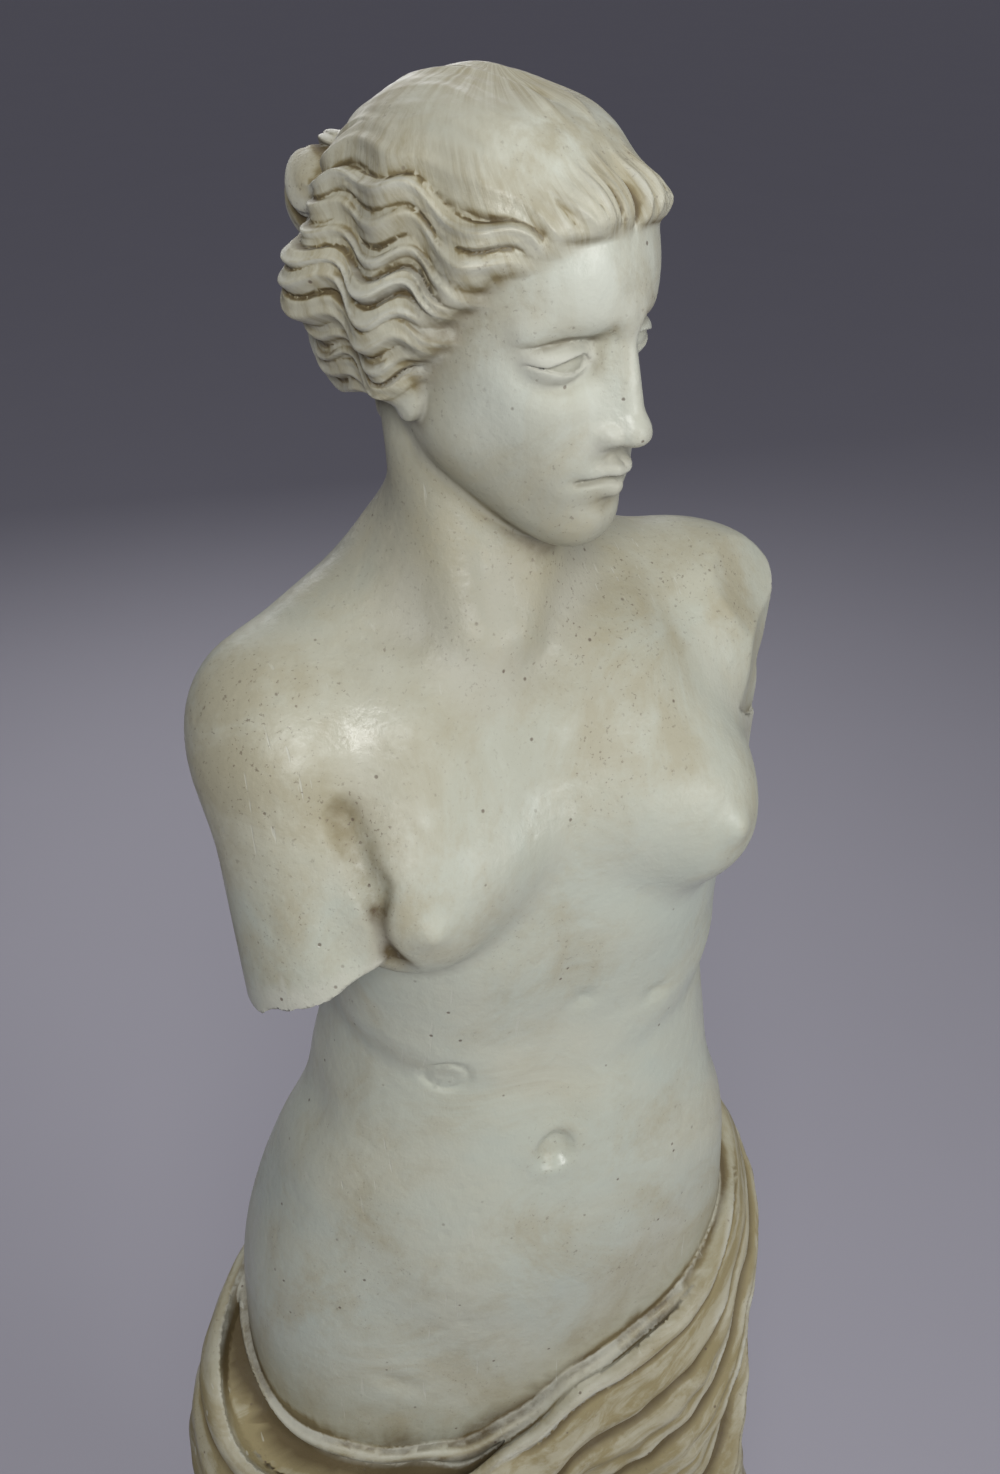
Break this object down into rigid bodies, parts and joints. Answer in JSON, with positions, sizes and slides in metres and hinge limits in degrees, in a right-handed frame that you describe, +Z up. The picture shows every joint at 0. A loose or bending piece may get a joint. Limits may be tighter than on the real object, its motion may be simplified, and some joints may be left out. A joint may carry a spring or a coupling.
{
  "type": "plaster statue",
  "caption": "Standing armless goddess statue, draped from the hips down, cast in plaster as one piece with a low rounded plinth.",
  "frame": {"origin": "centre of the plinth's underside, on the floor", "axes": "+Z up the statue; -Y is the way the chest faces, so her right side is -X and her left side is +X"},
  "size_m": [0.4802, 0.4192, 1.5996],
  "materials": {
    "plaster": "satin"
  },
  "bodies": {
    "root": {"goddess_statue": "plaster"}
  },
  "joints": []
}
